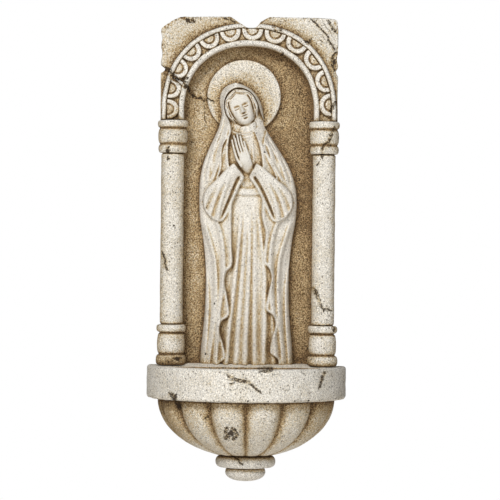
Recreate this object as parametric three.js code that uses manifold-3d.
// A wall stoup in cast stone: a niche slab with columns, arch and relief figure over a fluted half-round basin.
// Millimetres. +Z is up, the wall is the plane y = 0 and the front faces -Y. z = 0 is the top of the basin rim.

import * as THREE from 'three';
import { mergeVertices } from 'three/addons/utils/BufferGeometryUtils.js';
import Module from 'manifold-3d';

const wasm = await Module();
wasm.setup();

// Bedding and clearances
const JOINT = 0.3; // adhesive bed between two stone pieces
const PIN_GAP = 0.25; // air around a rod, stud or screw in its hole

// Slab
const NICHE_WIDTH = 53.2;
const STRIP_WIDTH = 8.7; // slab behind each column
const SHOULDER_STEP = 1.0; // the slab is this much wider above the columns
const SLAB_THICK = 11;
const NICHE_THICK = 6; // stone left behind the niche
const CROWN_COVER = 3; // slab above the arch
const TAIL_WIDTH = 40; // tongue that runs down behind the basin
const TAIL_DROP = 28;

// Columns
const BASE_HEIGHT = 16.6;
const SHAFT_HEIGHT = 69.3;
const CAPITAL_HEIGHT = 13.4;
const SHAFT_RADIUS = 4.65;
const BASE_RADIUS = 6.15;
const CAPITAL_RADIUS = 6.25;
const COLUMN_SET = 2.2; // column axis in front of its flat back
const ROD_RADIUS = 1;
const ROD_SOCKET = 5; // rod let into the rim

// Arch
const ARCH_STILT = 4; // straight part between capital and arch centre
const ARCH_SQUARE = 0.027; // share by which the haunches lie outside a true half circle
const ARCH_BAND = 9.1;
const ARCH_DEPTH = 3.2;
const INNER_ROLL = 2.2; // widths of the two rolls
const OUTER_ROLL = 1.8;
const CHANNEL_FLOOR = 0.8; // band under the channel
const LUNETTES = 12;
const LUNETTE_FIRST = 179.5; // degrees from +X
const LUNETTE_LAST = 4.5;
const LUNETTE_DRIFT = 4; // degrees that the crown ones lie off even spacing

// Figure and halo
const HEADROOM = 15.5; // niche crown above the veil
const FIGURE_WIDTH = 40;
const FIGURE_RELIEF = 10.6;
const HEAD_X = -3; // the head leans to the viewer's left
const HEAD_TILT = 12; // degrees
const HALO_X = -2.1;
const HALO_RISE = 3.9; // halo centre above the head's
const HALO_RADIUS = 15.1;
const HALO_THICK = 1.7;

// Basin
const RIM_RADIUS = 41;
const RIM_HEIGHT = 13.3;
const RIM_AXIS = 3; // basin axis in front of the wall
const RIM_ROUND = 1.6;
const LIP_WIDTH = 4.6;
const LEDGE_EDGE = 0.6; // ledge in front of the column bases
const BASIN_DEPTH = 25;
const BOWL_RADIUS = 36.5;
const BOWL_DEPTH = 24.5;
const FLUTES = 14; // in a full turn, one groove at the front
const FLUTE_DEPTH = 2.6;
const COLLAR_RADIUS = 12.4;
const COLLAR_HEIGHT = 5;
const KNOB_RADIUS = 8.4;
const KNOB_HEIGHT = 5.4;
const STUD_RADIUS = 1.5;
const STUD_BITE = 3.4; // stud in the knob and in the bowl

// Liner
const LINER_GAP = 0.4;
const LINER_WALL = 1.2;
const LINER_DROP = 2; // liner edge below the rim

// Hanger and screws
const PLATE_WIDTH = 34;
const PLATE_HEIGHT = 16;
const PLATE_THICK = 1.2;
const PLATE_SET = 1; // plate face behind the wall plane
const KEY_ENTRY = 4.4; // radius that passes the wall screw's head
const KEY_SLOT = 2.2; // half-width that holds its shank
const KEY_RISE = 6.5;
const KEY_ROOM = 2.6; // depth behind the plate for the screw's head
const HEAD_SET = 0.3; // screw heads below the surface
const STONE_SCREW = { shank: 1.6, head: 3.1, sink: 2.2 };
const PLATE_SCREW = { shank: 1.1, head: 2.1, sink: 0.7 };

// Levels and stations that follow from the sizes
const nicheHalf = NICHE_WIDTH / 2;
const stripHalf = nicheHalf + STRIP_WIDTH;
const shoulderHalf = stripHalf + SHOULDER_STEP;
const columnX = nicheHalf + STRIP_WIDTH / 2;
const columnBackY = -(SLAB_THICK + JOINT);
const columnY = columnBackY - COLUMN_SET;
const baseZ = JOINT;
const shaftZ = baseZ + BASE_HEIGHT + JOINT;
const capitalZ = shaftZ + SHAFT_HEIGHT + JOINT;
const springZ = capitalZ + CAPITAL_HEIGHT + JOINT;
const archZ = springZ + ARCH_STILT;
const archOuter = nicheHalf + ARCH_BAND;
const slabTop = archZ + archOuter + CROWN_COVER;
const reliefY = -(NICHE_THICK + JOINT);
const figureTop = archZ + nicheHalf - HEADROOM;
const basinBackY = columnY - BASE_RADIUS - LEDGE_EDGE;
const bowlTop = -RIM_HEIGHT - JOINT;
const bowlBottom = bowlTop - BOWL_DEPTH * Math.sqrt(1 - (COLLAR_RADIUS / BOWL_RADIUS) ** 2);
const collarTop = bowlBottom - JOINT;
const knobTop = collarTop - COLLAR_HEIGHT - JOINT;
const studY = -(RIM_AXIS + 2 * STUD_RADIUS);
const rad = THREE.MathUtils.degToRad;

// Radius of the arch at an angle from +X, as a share of its radius at the crown.
const archSpread = (angle) => 1 + ARCH_SQUARE * Math.sin(2 * angle) ** 2;

// Solids

// Boolean solid of a closed geometry.
function solid(geometry) {
  const g = geometry.clone();
  g.deleteAttribute('normal');
  g.deleteAttribute('uv');
  const merged = mergeVertices(g, 1e-4);
  const index = merged.index.array;
  const tris = [];
  for (let i = 0; i < index.length; i += 3) {
    const [a, b, c] = [index[i], index[i + 1], index[i + 2]];
    if (a !== b && b !== c && c !== a) tris.push(a, b, c);
  }
  return new wasm.Manifold(new wasm.Mesh({
    numProp: 3,
    vertProperties: new Float32Array(merged.attributes.position.array),
    triVerts: new Uint32Array(tris),
  }));
}

// Geometry of a boolean solid.
function geometryOf(manifold) {
  const mesh = manifold.getMesh();
  const g = new THREE.BufferGeometry();
  const points = new Float32Array(mesh.numVert * 3);
  for (let i = 0; i < mesh.numVert; i++) {
    for (let k = 0; k < 3; k++) points[3 * i + k] = mesh.vertProperties[mesh.numProp * i + k];
  }
  g.setAttribute('position', new THREE.BufferAttribute(points, 3));
  g.setIndex(new THREE.BufferAttribute(new Uint32Array(mesh.triVerts), 1));
  g.computeVertexNormals();
  return g;
}

const cut = (body, ...tools) => tools.reduce((left, tool) => left.subtract(tool), body);
const join = (...bodies) => bodies.reduce((left, body) => left.add(body));

// Box between two corners.
function block(x0, x1, y0, y1, z0, z1) {
  const g = new THREE.BoxGeometry(x1 - x0, y1 - y0, z1 - z0);
  g.translate((x0 + x1) / 2, (y0 + y1) / 2, (z0 + z1) / 2);
  return solid(g);
}

// Outline in x and z, run from y = back towards the front.
function slabOf(shape, back, front, curveSegments = 24) {
  const g = new THREE.ExtrudeGeometry(shape, { depth: back - front, bevelEnabled: false, curveSegments });
  g.rotateX(Math.PI / 2);
  g.translate(0, back, 0);
  return solid(g);
}

// Profile of [radius, height] pairs turned about an upright axis. It runs from the lowest point on the axis to the top.
function turned(profile, segments, x = 0, y = 0) {
  const g = new THREE.LatheGeometry(profile.map(([r, h]) => new THREE.Vector2(r, h)), segments);
  g.rotateX(Math.PI / 2);
  g.translate(x, y, 0);
  return solid(g);
}

// Profile turned about an axis along y, such as a screw or a disc on the wall.
function turnedOnWall(profile, segments, x = 0, z = 0) {
  const g = new THREE.LatheGeometry(profile.map(([r, y]) => new THREE.Vector2(r, y)), segments);
  g.translate(x, 0, z);
  return solid(g);
}

// Half-round bulge of a moulding, from the height lo to hi.
function bulge(neck, crest, lo, hi, steps) {
  const points = [];
  for (let i = 0; i <= steps; i++) {
    const a = Math.PI * (i / steps);
    points.push([neck + (crest - neck) * Math.sin(a) ** 0.6, (lo + hi) / 2 - ((hi - lo) / 2) * Math.cos(a)]);
  }
  return points;
}

// Upright rod with a margin all round, used for the rod itself and for its hole.
function upright(radius, lo, hi, x, y) {
  return turned([[0, lo], [radius, lo], [radius, hi], [0, hi]], 12, x, y);
}

// Screw driven from the wall side towards the front, with a margin for its hole.
function screwBody({ shank, head, sink }, start, length, x, z, margin = 0) {
  const open = margin > 0 ? 1 : start;
  const tip = start - length - margin;
  return turnedOnWall([
    [0, tip],
    [shank + margin, tip],
    [shank + margin, start - sink],
    [head + margin, start],
    ...(margin > 0 ? [[head + margin, open]] : []),
    [0, open],
  ], 12, x, z);
}

// Materials
const paleStone = new THREE.MeshStandardMaterial({ color: '#ddd3bf', roughness: 0.85, metalness: 0 });
const washedStone = new THREE.MeshStandardMaterial({ color: '#c3a577', roughness: 0.9, metalness: 0 });
const steel = new THREE.MeshStandardMaterial({ color: '#9a9a98', roughness: 0.4, metalness: 1 });
const brass = new THREE.MeshStandardMaterial({ color: '#b08d4a', roughness: 0.35, metalness: 1 });

const stoup = new THREE.Group();
stoup.name = 'holy_water_stoup';

function place(name, body, material, parent = stoup) {
  const mesh = new THREE.Mesh(body.isBufferGeometry ? body : geometryOf(body), material);
  mesh.name = name;
  parent.add(mesh);
  return mesh;
}

// Screws that the slab, the rim, the bowl and the figure are bored for
const plateZ = archZ + 10;
const plateFront = -(PLATE_SET + PLATE_THICK);
const plateScrewX = PLATE_WIDTH / 2 - 2 * PLATE_SCREW.head;
const plateScrewStart = -(PLATE_SET - PLATE_SCREW.sink) + 0.05;
const plateScrewLength = NICHE_THICK - 1.2;
const rimScrew = { x: TAIL_WIDTH / 3, z: -RIM_HEIGHT / 2, length: -basinBackY - 3.2 };
const bowlScrew = { x: TAIL_WIDTH / 3, z: bowlTop - 7.5, length: -basinBackY - 3.2 };
const figureScrew = { z: [0.22 * figureTop, 0.6 * figureTop], length: NICHE_THICK + 0.45 * FIGURE_RELIEF };

const stoneScrews = [
  ['rim_screw_left', -rimScrew.x, rimScrew.z, rimScrew.length],
  ['rim_screw_right', rimScrew.x, rimScrew.z, rimScrew.length],
  ['bowl_screw_left', -bowlScrew.x, bowlScrew.z, bowlScrew.length],
  ['bowl_screw_right', bowlScrew.x, bowlScrew.z, bowlScrew.length],
  ['figure_screw_lower', 0, figureScrew.z[0], figureScrew.length],
  ['figure_screw_upper', 0, figureScrew.z[1], figureScrew.length],
];
const stoneBores = stoneScrews.map(([, x, z, length]) => screwBody(STONE_SCREW, -HEAD_SET, length, x, z, PIN_GAP));

// Back slab with its broken top edge, niche and tongue

function slabOutline() {
  const s = new THREE.Shape();
  const tail = TAIL_WIDTH / 2;
  const shoulder = springZ - 0.3 * CAPITAL_HEIGHT;
  s.moveTo(-tail, -TAIL_DROP);
  s.lineTo(tail, -TAIL_DROP);
  s.lineTo(tail, JOINT);
  s.lineTo(stripHalf, JOINT);
  s.lineTo(stripHalf, shoulder);
  s.lineTo(shoulderHalf, shoulder);
  // right corner, only a little worn
  s.lineTo(shoulderHalf, slabTop - 3);
  s.lineTo(shoulderHalf - 0.8, slabTop - 0.9);
  s.lineTo(shoulderHalf - 4, slabTop - 0.3);
  // notch in the crown
  s.lineTo(8, slabTop);
  s.lineTo(4.4, slabTop - 2.2);
  s.lineTo(2.6, slabTop - 4.5);
  s.lineTo(-1, slabTop - 4.6);
  s.lineTo(-4.2, slabTop - 2.6);
  s.lineTo(-7.8, slabTop);
  // left corner, broken off
  s.lineTo(-shoulderHalf + 8, slabTop - 0.3);
  s.lineTo(-shoulderHalf + 4.4, slabTop - 2);
  s.lineTo(-shoulderHalf, slabTop - 5);
  s.lineTo(-shoulderHalf, shoulder);
  s.lineTo(-stripHalf, shoulder);
  s.lineTo(-stripHalf, JOINT);
  s.lineTo(-tail, JOINT);
  s.closePath();
  return s;
}

function nicheOutline() {
  const s = new THREE.Shape();
  s.moveTo(-nicheHalf, -1);
  s.lineTo(nicheHalf, -1);
  for (let i = 0; i <= 48; i++) {
    const a = (Math.PI * i) / 48;
    const r = nicheHalf * archSpread(a);
    s.lineTo(r * Math.cos(a), archZ + r * Math.sin(a));
  }
  s.closePath();
  return s;
}

// Keyhole: a round entry with a slot above it.
function keyholePath(path, grow = 0) {
  const entryZ = plateZ - KEY_RISE / 2;
  const half = KEY_SLOT + grow;
  const radius = KEY_ENTRY + grow;
  const side = Math.asin(half / radius);
  path.absarc(0, entryZ, radius, Math.PI / 2 + side, Math.PI / 2 - side + 2 * Math.PI, false);
  path.lineTo(half, entryZ + KEY_RISE);
  path.absarc(0, entryZ + KEY_RISE, half, 0, Math.PI, false);
  path.closePath();
  return path;
}

function hangerOutline(grow) {
  const w = PLATE_WIDTH / 2 + grow;
  const h = PLATE_HEIGHT / 2 + grow;
  const s = new THREE.Shape();
  s.moveTo(-w, plateZ - h);
  s.lineTo(w, plateZ - h);
  s.lineTo(w, plateZ + h);
  s.lineTo(-w, plateZ + h);
  s.closePath();
  return s;
}

const outerTop = slabTop + 5;
const plateScrewBores = [-1, 1].map((side) =>
  screwBody(PLATE_SCREW, plateScrewStart, plateScrewLength, side * plateScrewX, plateZ, PIN_GAP));
const headRoom = slabOf(keyholePath(new THREE.Shape(), KEY_ENTRY - KEY_SLOT), 0, plateFront - KEY_ROOM, 8);
const backSlab = cut(
  slabOf(slabOutline(), 0, -SLAB_THICK),
  slabOf(nicheOutline(), -NICHE_THICK, -SLAB_THICK - 1),
  block(-stripHalf - 9, stripHalf + 9, -SLAB_THICK - 1, -NICHE_THICK, -TAIL_DROP - 1, JOINT),
  slabOf(hangerOutline(JOINT), 1, plateFront - 0.1),
  headRoom,
  ...plateScrewBores,
  ...stoneBores,
);
place('back_slab', backSlab, washedStone);

// Arch moulding: two rolls with a channel between, on straight legs

const archBackY = -(SLAB_THICK + JOINT);
const archFrontY = archBackY - ARCH_DEPTH;
const channelY = archBackY - CHANNEL_FLOOR;

// Section of the moulding as [radius, y], anticlockwise with +y up.
function archSection() {
  const roll = (inner, outer) => {
    const points = [];
    for (let i = 0; i <= 4; i++) {
      const a = Math.PI * (i / 4);
      const r = (inner + outer) / 2 - ((outer - inner) / 2) * Math.cos(a);
      points.push([r, channelY + (archFrontY - channelY) * Math.sin(a) ** 0.7]);
    }
    return points;
  };
  return [
    [nicheHalf, archBackY],
    ...roll(nicheHalf, nicheHalf + INNER_ROLL),
    ...roll(archOuter - OUTER_ROLL, archOuter),
    [archOuter, archBackY],
  ];
}

function archSolid() {
  const section = archSection();
  const ring = turnedOnWall([...section, section[0]], 56, 0, archZ);
  const half = cut(ring, block(-200, 200, -100, 100, archZ - 200, archZ));
  const leg = (side) => {
    const s = new THREE.Shape(section.map(([r, y]) => new THREE.Vector2(side * r, y)));
    const g = new THREE.ExtrudeGeometry(s, { depth: ARCH_STILT + 0.02, bevelEnabled: false });
    g.translate(0, 0, springZ);
    return solid(g);
  };
  const g = geometryOf(join(half, leg(-1), leg(1)));
  const points = g.attributes.position;
  for (let i = 0; i < points.count; i++) {
    const rise = Math.max(0, points.getZ(i) - archZ);
    const share = archSpread(Math.atan2(rise, points.getX(i)));
    if (rise > 0) points.setXYZ(i, points.getX(i) * share, points.getY(i), archZ + rise * share);
  }
  return solid(g);
}

// The notch in the crown takes the outer roll with it.
const notch = new THREE.Shape([
  new THREE.Vector2(8, outerTop),
  new THREE.Vector2(-7.8, outerTop),
  new THREE.Vector2(-4.6, slabTop - 2.6),
  new THREE.Vector2(-1, slabTop - 4.8),
  new THREE.Vector2(2.8, slabTop - 4.7),
  new THREE.Vector2(5, slabTop - 2.4),
]);
place('arch_moulding', cut(archSolid(), slabOf(notch, 1, archFrontY - 1)), paleStone);

// Half-round ornaments in the channel

const lunetteReach = ARCH_BAND - INNER_ROLL - OUTER_ROLL - 2 * JOINT;
const tightStep = rad((LUNETTE_FIRST - LUNETTE_LAST - Math.PI * LUNETTE_DRIFT) / (LUNETTES - 1));
const lunetteFoot = (archOuter - OUTER_ROLL - JOINT) * Math.cos(tightStep / 2);
const lunetteHalf = lunetteFoot * Math.tan(tightStep / 2) - JOINT / 2;

// A raised half ring, a groove and a half dome, with the straight side outwards.
function lunetteSolid() {
  const back = channelY - JOINT;
  const front = archFrontY + 0.5;
  const share = (t) => back + (front - back) * t;
  const profile = [
    [0, share(0.72)],
    [0.4, share(0.6)],
    [0.5, share(0.2)],
    [0.58, share(0.2)],
    [0.67, share(0.9)],
    [0.84, share(1)],
    [0.96, share(0.7)],
    [1, share(0.25)],
    [1, back],
    [0, back],
  ];
  const disc = turnedOnWall(profile.map(([r, y]) => [r * lunetteHalf, y]), 20);
  const half = geometryOf(cut(disc, block(-50, 50, -90, 90, 0, 50)));
  half.scale(1, 1, lunetteReach / lunetteHalf);
  return half;
}

const lunette = lunetteSolid();
const ornaments = new THREE.Group();
ornaments.position.set(0, 0, archZ);
stoup.add(ornaments);

function lunetteAngle(i) {
  const step = i / (LUNETTES - 1);
  const even = LUNETTE_FIRST + (LUNETTE_LAST - LUNETTE_FIRST) * step;
  return rad(even + LUNETTE_DRIFT * Math.sin(Math.PI * step));
}

// Each fills the space to its nearer neighbour.
for (let i = 0; i < LUNETTES; i++) {
  const angle = lunetteAngle(i);
  const before = i > 0 ? lunetteAngle(i - 1) - angle : Infinity;
  const after = i < LUNETTES - 1 ? angle - lunetteAngle(i + 1) : Infinity;
  const half = lunetteFoot * Math.tan(Math.min(before, after) / 2) - JOINT / 2;
  const body = lunette.clone().scale(half / lunetteHalf, 1, 1);
  const mesh = place(`arch_lunette_${String(i + 1).padStart(2, '0')}`, body, paleStone, ornaments);
  const foot = lunetteFoot * archSpread(angle);
  const slope = (2 * ARCH_SQUARE * Math.sin(4 * angle)) / archSpread(angle);
  mesh.rotation.y = Math.PI / 2 - angle + Math.atan(slope);
  mesh.position.set(foot * Math.cos(angle), 0, foot * Math.sin(angle));
}

// Columns

function columnPiece(profile, side) {
  const body = turned(profile, 24, side * columnX, columnY);
  const behind = block(-200, 200, columnBackY, 100, -200, 400);
  const bore = upright(ROD_RADIUS + PIN_GAP, -ROD_SOCKET - PIN_GAP, springZ - 2, side * columnX, columnY);
  return cut(body, behind, bore);
}

const onAxis = (points, lo, hi) => [[0, lo], ...points, [0, hi]];

function baseProfile() {
  const h = BASE_HEIGHT;
  return onAxis([
    ...bulge(SHAFT_RADIUS + 0.4, BASE_RADIUS, baseZ, baseZ + 0.26 * h, 4),
    ...bulge(SHAFT_RADIUS + 0.1, BASE_RADIUS - 0.65, baseZ + 0.28 * h, baseZ + 0.79 * h, 5),
    ...bulge(SHAFT_RADIUS + 0.3, BASE_RADIUS - 0.2, baseZ + 0.81 * h, baseZ + h, 4),
  ], baseZ, baseZ + h);
}

function capitalProfile() {
  const h = CAPITAL_HEIGHT;
  return onAxis([
    ...bulge(SHAFT_RADIUS + 0.3, CAPITAL_RADIUS - 0.35, capitalZ, capitalZ + 0.26 * h, 4),
    ...bulge(SHAFT_RADIUS + 0.2, CAPITAL_RADIUS - 0.35, capitalZ + 0.285 * h, capitalZ + 0.75 * h, 5),
    ...bulge(SHAFT_RADIUS + 0.6, CAPITAL_RADIUS, capitalZ + 0.775 * h, capitalZ + h, 4),
  ], capitalZ, capitalZ + h);
}

for (const [word, side] of [['left', -1], ['right', 1]]) {
  place(`${word}_column_base`, columnPiece(baseProfile(), side), paleStone);
  const shaft = onAxis([[SHAFT_RADIUS, shaftZ], [SHAFT_RADIUS, shaftZ + SHAFT_HEIGHT]], shaftZ, shaftZ + SHAFT_HEIGHT);
  place(`${word}_column_shaft`, columnPiece(shaft, side), paleStone);
  place(`${word}_column_capital`, columnPiece(capitalProfile(), side), paleStone);
  place(`${word}_column_rod`, upright(ROD_RADIUS, -ROD_SOCKET, springZ - 2.3, side * columnX, columnY), steel);
}

// Halo and figure

const headZ = figureTop - 9;
const haloZ = headZ + HALO_RISE;
const haloFront = reliefY - HALO_THICK;

function haloSolid(grow) {
  const r = HALO_RADIUS + grow;
  return turnedOnWall([
    [0, haloFront - grow],
    [r - 0.7, haloFront - grow],
    [r, haloFront + 0.7 - grow],
    [r, reliefY + grow],
    [0, reliefY + grow],
  ], 40, HALO_X, haloZ);
}
place('halo_disc', haloSolid(0), paleStone);

// Half-width and relief of the robed body, as shares, from hem to neck.
const BODY = [
  [0, 0.95, 0.82],
  [0.1, 0.93, 0.84],
  [0.27, 0.86, 0.86],
  [0.42, 0.86, 0.9],
  [0.54, 0.96, 0.97],
  [0.62, 1, 1],
  [0.7, 0.96, 0.97],
  [0.77, 0.84, 0.9],
  [0.83, 0.62, 0.82],
  [0.88, 0.4, 0.72],
];

function bodyAt(t) {
  const i = Math.max(1, BODY.findIndex(([level]) => level >= t));
  const [t0, w0, d0] = BODY[i - 1];
  const [t1, w1, d1] = BODY[i];
  const s = THREE.MathUtils.smoothstep(t, t0, t1);
  return [THREE.MathUtils.lerp(w0, w1, s), THREE.MathUtils.lerp(d0, d1, s)];
}

// Upright folds of the gown between the edges of the mantle, deeper towards the hem.
function foldAt(u, t) {
  const gown = 0.3 + 0.18 * (1 - t / 0.55);
  if (t > 0.55) return 0;
  const depth = 0.09 * (1 - t / 0.6);
  if (Math.abs(u) > gown) return depth * Math.cos(14 * Math.abs(u)) * 0.6;
  return -0.11 + depth * Math.cos((5.5 * Math.PI * u) / gown);
}

// Stacked half-sections closed by a flat back.
function bodySolid() {
  const rows = 26;
  const cols = 30;
  const points = [];
  const tris = [];
  for (let j = 0; j <= rows; j++) {
    const t = (BODY[BODY.length - 1][0] * j) / rows;
    const [width, relief] = bodyAt(t);
    const lean = HEAD_X * THREE.MathUtils.smoothstep(t, 0.62, 0.92);
    const edge = (width * FIGURE_WIDTH) / 2;
    const z = JOINT + t * (figureTop - JOINT);
    for (let i = 0; i <= cols; i++) {
      const u = Math.sin(Math.PI * (i / cols - 0.5));
      const round = Math.sqrt(Math.max(0, 1 - u * u)) ** 0.7;
      const rise = FIGURE_RELIEF * Math.max(0.3, relief * (0.36 + 0.64 * round) + foldAt(u, t));
      points.push(lean + u * edge, reliefY - rise, z);
    }
    points.push(lean + edge, reliefY, z);
    points.push(lean - edge, reliefY, z);
  }
  const n = cols + 3;
  for (let j = 0; j < rows; j++) {
    for (let i = 0; i < n; i++) {
      const a = j * n + i;
      const b = j * n + ((i + 1) % n);
      tris.push(a, b, b + n, a, b + n, a + n);
    }
  }
  const cap = (start, flip) => {
    const ring = [];
    for (let i = 0; i < n; i++) ring.push(new THREE.Vector2(points[3 * (start + i)], points[3 * (start + i) + 1]));
    for (const [a, b, c] of THREE.ShapeUtils.triangulateShape(ring, [])) {
      tris.push(start + a, start + (flip ? c : b), start + (flip ? b : c));
    }
  };
  cap(0, true);
  cap(rows * n, false);
  const g = new THREE.BufferGeometry();
  g.setAttribute('position', new THREE.Float32BufferAttribute(points, 3));
  g.setIndex(tris);
  return solid(g);
}

function ball(rx, ry, rz, x, y, z, tilt = 0) {
  const g = new THREE.SphereGeometry(1, 18, 12);
  g.scale(rx, ry, rz);
  g.rotateY(tilt);
  g.translate(x, y, z);
  return solid(g);
}

const handZ = 0.735 * figureTop;
const sleeveX = 0.22 * FIGURE_WIDTH;
const figure = cut(
  join(
    bodySolid(),
    ball(8.4, 6.2, 9.6, HEAD_X, reliefY - 3.4, headZ - 0.5, -rad(HEAD_TILT)), // veil
    ball(4.7, 4.8, 6.1, HEAD_X, reliefY - 6, headZ - 0.6, -rad(HEAD_TILT)), // face
    ball(9.8, 3.9, 5.4, -sleeveX, reliefY - 0.8 * FIGURE_RELIEF, handZ - 10, rad(-34)), // sleeves
    ball(9.8, 3.9, 5.4, sleeveX, reliefY - 0.8 * FIGURE_RELIEF, handZ - 10, rad(34)),
    ball(2.8, 2.8, 7.4, 0, reliefY - FIGURE_RELIEF, handZ + 1), // joined hands
  ),
  block(-100, 100, reliefY, 100, -100, 400),
  block(-100, 100, -100, 100, -100, JOINT),
  haloSolid(JOINT),
  ...stoneBores.slice(4),
);
place('relief_figure', figure, paleStone);

// Basin: rim, fluted bowl, pendant and liner

const behindWall = block(-200, 200, 0, 200, -200, 400);

// Hollow of the basin, drawn in by a margin for the liner.
function basinVoid(inset) {
  const r = RIM_RADIUS - LIP_WIDTH - inset;
  const d = BASIN_DEPTH - inset;
  const profile = [];
  for (let i = 0; i <= 8; i++) {
    const a = (Math.PI / 2) * (i / 8);
    profile.push([r * Math.sin(a), -d * Math.cos(a)]);
  }
  profile.push([r, 5], [0, 5]);
  return cut(turned(profile, 48, 0, -RIM_AXIS), block(-200, 200, basinBackY - inset, 200, -200, 200));
}

// Room behind rim and bowl for the slab's tongue.
const tailRoom = block(
  -TAIL_WIDTH / 2 - JOINT, TAIL_WIDTH / 2 + JOINT,
  -NICHE_THICK - JOINT, 1,
  -TAIL_DROP - JOINT, 1,
);

function rimSolid() {
  const foot = 1.4 * RIM_ROUND;
  const arc = (r, z, size, from) => [0, 1, 2, 3].map((i) => {
    const a = rad(from + 30 * i);
    return [r + size * Math.cos(a), z + size * Math.sin(a)];
  });
  const profile = [
    [0, -RIM_HEIGHT],
    ...arc(RIM_RADIUS - foot, -RIM_HEIGHT + foot, foot, -90),
    ...arc(RIM_RADIUS - RIM_ROUND, -RIM_ROUND, RIM_ROUND, 0),
    [0, 0],
  ];
  const sockets = [-1, 1].map((side) =>
    upright(ROD_RADIUS + PIN_GAP, -ROD_SOCKET - PIN_GAP, 1, side * columnX, columnY));
  const disc = turned(profile, 60, 0, -RIM_AXIS);
  return cut(disc, behindWall, basinVoid(0), tailRoom, ...sockets, ...stoneBores.slice(0, 2));
}
place('basin_rim', rimSolid(), paleStone);

// Quarter-ellipse bowl with round lobes between sharp grooves.
function bowlSolid() {
  const rows = 9;
  const perLobe = 8;
  const n = FLUTES * perLobe;
  const points = [];
  const tris = [];
  const drop = bowlTop - bowlBottom;
  for (let j = 0; j <= rows; j++) {
    const z = bowlTop - drop * Math.sin((Math.PI / 2) * (j / rows));
    const r = BOWL_RADIUS * Math.sqrt(1 - ((bowlTop - z) / BOWL_DEPTH) ** 2);
    for (let i = 0; i < n; i++) {
      const a = -Math.PI / 2 + (2 * Math.PI * i) / n;
      const u = (2 * (i % perLobe)) / perLobe - 1;
      const groove = (FLUTE_DEPTH * u * u * (0.35 + 0.65 * r)) / (0.35 + 0.65 * BOWL_RADIUS);
      points.push((r - groove) * Math.cos(a), (r - groove) * Math.sin(a) - RIM_AXIS, z);
    }
  }
  const top = points.length / 3;
  points.push(0, -RIM_AXIS, bowlTop, 0, -RIM_AXIS, bowlBottom);
  for (let i = 0; i < n; i++) {
    const next = (i + 1) % n;
    tris.push(top, i, next, top + 1, rows * n + next, rows * n + i);
    for (let j = 0; j < rows; j++) {
      const a = j * n + i;
      const b = j * n + next;
      tris.push(a, a + n, b + n, a, b + n, b);
    }
  }
  const g = new THREE.BufferGeometry();
  g.setAttribute('position', new THREE.Float32BufferAttribute(points, 3));
  g.setIndex(tris);
  const stud = upright(STUD_RADIUS + PIN_GAP, knobTop - 9, bowlBottom + STUD_BITE + PIN_GAP, 0, studY);
  return cut(solid(g), behindWall, basinVoid(0), tailRoom, stud, ...stoneBores.slice(2, 4));
}
place('fluted_bowl', bowlSolid(), paleStone);

const studBore = upright(STUD_RADIUS + PIN_GAP, knobTop - STUD_BITE - PIN_GAP, 0, 0, studY);
const collarProfile = onAxis(
  bulge(COLLAR_RADIUS - 2, COLLAR_RADIUS, collarTop - COLLAR_HEIGHT, collarTop, 6),
  collarTop - COLLAR_HEIGHT, collarTop,
);
place('pendant_collar', cut(turned(collarProfile, 32, 0, -RIM_AXIS), behindWall, studBore), paleStone);

const knobProfile = [[0, knobTop - KNOB_HEIGHT]];
for (let i = 1; i <= 6; i++) {
  const a = (Math.PI / 2) * (i / 6);
  knobProfile.push([KNOB_RADIUS * Math.sin(a) ** 0.8, knobTop - 0.3 * KNOB_HEIGHT - 0.7 * KNOB_HEIGHT * Math.cos(a)]);
}
knobProfile.push([KNOB_RADIUS * 0.92, knobTop], [0, knobTop]);
place('pendant_knob', cut(turned(knobProfile, 28, 0, -RIM_AXIS), behindWall, studBore), paleStone);
place('pendant_stud', upright(STUD_RADIUS, knobTop - STUD_BITE, bowlBottom + STUD_BITE, 0, studY), steel);

const linerTop = block(-200, 200, -200, 200, -LINER_DROP, 200);
const liner = cut(basinVoid(LINER_GAP), linerTop, basinVoid(LINER_GAP + LINER_WALL));
place('basin_liner', liner, brass);

// Hanger plate and screws

function plateSolid() {
  const s = hangerOutline(0);
  s.holes.push(keyholePath(new THREE.Path()));
  const plate = slabOf(s, -PLATE_SET, plateFront, 10);
  const holes = [-1, 1].map((side) =>
    turnedOnWall([
      [0, -9],
      [PLATE_SCREW.shank + PIN_GAP, -9],
      [PLATE_SCREW.shank + PIN_GAP, 1],
      [0, 1],
    ], 12, side * plateScrewX, plateZ));
  return cut(plate, ...holes);
}
place('hanger_plate', plateSolid(), steel);

function plateScrew(side) {
  const { shank, head, sink } = PLATE_SCREW;
  const seat = plateScrewStart - sink;
  const tip = plateScrewStart - plateScrewLength;
  return turnedOnWall([
    [0, tip],
    [shank, tip],
    [shank, seat],
    [head, seat],
    [head, plateScrewStart],
    [0, plateScrewStart],
  ], 12, side * plateScrewX, plateZ);
}
place('hanger_screw_left', plateScrew(-1), steel);
place('hanger_screw_right', plateScrew(1), steel);

for (const [name, x, z, length] of stoneScrews) {
  place(name, screwBody(STONE_SCREW, -HEAD_SET, length, x, z), steel);
}

export default stoup;
